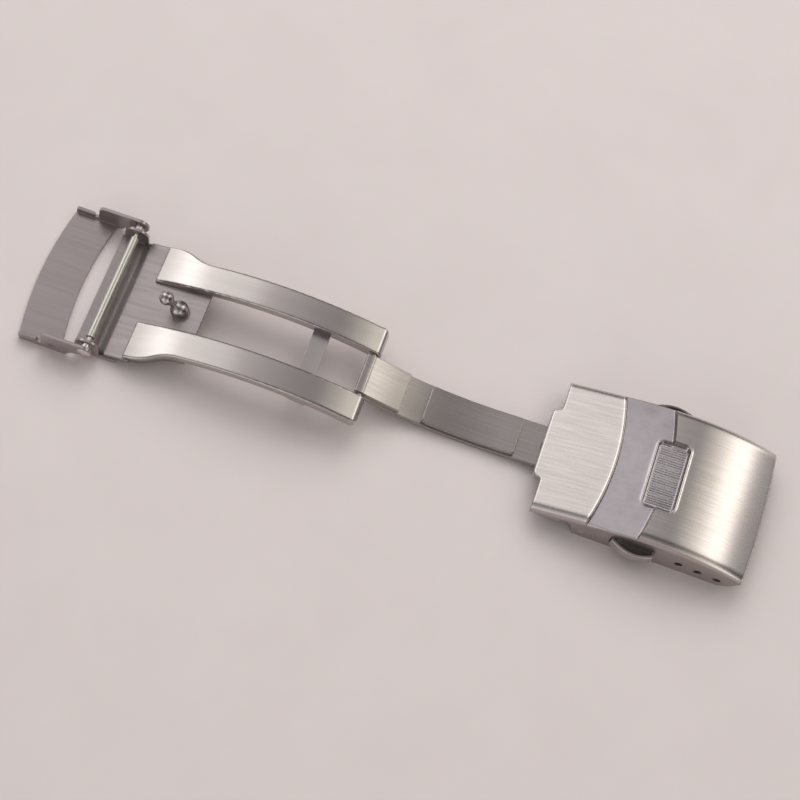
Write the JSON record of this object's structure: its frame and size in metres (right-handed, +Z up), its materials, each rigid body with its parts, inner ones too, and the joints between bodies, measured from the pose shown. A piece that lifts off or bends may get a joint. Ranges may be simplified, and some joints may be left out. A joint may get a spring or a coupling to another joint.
{
  "type": "deployant clasp",
  "caption": "Folding watch strap clasp: pronged base with safety flap, middle link, and a cover with side push buttons and strap bar holes.",
  "frame": {"origin": "middle of the clasp's footprint, on the surface that it lies on, with the clasp open", "axes": "+X runs along the clasp from the safety flap to the cover, +Y across it to the far side, +Z up"},
  "size_m": [0.106, 0.0232, 0.0068],
  "materials": {
    "satin_steel": "satin, brushed lengthwise",
    "polished_steel": "fine brushed, nearly polished",
    "bright_steel": "polished",
    "spring_steel": "plain mill finish"
  },
  "bodies": {
    "base": {"end_bracket": "satin_steel", "base_plate": "satin_steel", "far_prong": "polished_steel", "near_prong": "polished_steel", "crossbar": "satin_steel", "catch_stud": "bright_steel", "fold_pin": "bright_steel", "far_rivet": "bright_steel", "near_rivet": "bright_steel", "bar_tube": "bright_steel", "bar_spring": "spring_steel"},
    "flap": {"safety_flap": "satin_steel"},
    "link": {"middle_link": "polished_steel"},
    "cover": {"cover_shell": "satin_steel", "cover_pin": "bright_steel", "catch_tray": "spring_steel", "far_spring": "spring_steel", "near_spring": "spring_steel"},
    "far_pusher": {"far_button": "polished_steel", "far_claw": "spring_steel"},
    "near_pusher": {"near_button": "polished_steel", "near_claw": "spring_steel"},
    "far_tip": {"far_bar_tip": "bright_steel"},
    "near_tip": {"near_bar_tip": "bright_steel"}
  },
  "joints": [
    {"name": "fold_hinge", "type": "hinge", "parent": "base", "child": "link", "pos_m": [-0.0049, 0, 0.00375], "axis": [0, -1, 0], "range_deg": [0, 185]},
    {"name": "cover_hinge", "type": "hinge", "parent": "link", "child": "cover", "pos_m": [0.0299, 0, 0.00165], "axis": [0, -1, 0], "range_deg": [-173.1, 0]},
    {"name": "flap_hinge", "type": "hinge", "parent": "base", "child": "flap", "pos_m": [-0.0423, 0, 0.0029], "axis": [0, 1, 0], "range_deg": [0, 160]},
    {"name": "far_push", "type": "slide", "parent": "cover", "child": "far_pusher", "axis": [0, -1, 0], "range_m": [0, 0.0008], "stiffness_N_per_m": 400, "springref_m": -0.0005, "deforming": ["far_spring"]},
    {"name": "near_push", "type": "slide", "parent": "cover", "child": "near_pusher", "axis": [0, 1, 0], "range_m": [0, 0.0008], "stiffness_N_per_m": 400, "springref_m": -0.0005, "deforming": ["near_spring"]},
    {"name": "far_tip_slide", "type": "slide", "parent": "base", "child": "far_tip", "axis": [0, -1, 0], "range_m": [0, 0.0011], "stiffness_N_per_m": 300, "springref_m": -0.0005},
    {"name": "near_tip_slide", "type": "slide", "parent": "base", "child": "near_tip", "axis": [0, 1, 0], "range_m": [0, 0.0011], "stiffness_N_per_m": 300, "springref_m": -0.0005, "deforming": ["bar_spring"]}
  ],
  "couplings": [
    {"joint": "cover_hinge", "follows": "fold_hinge", "ratio": -0.93514}
  ]
}
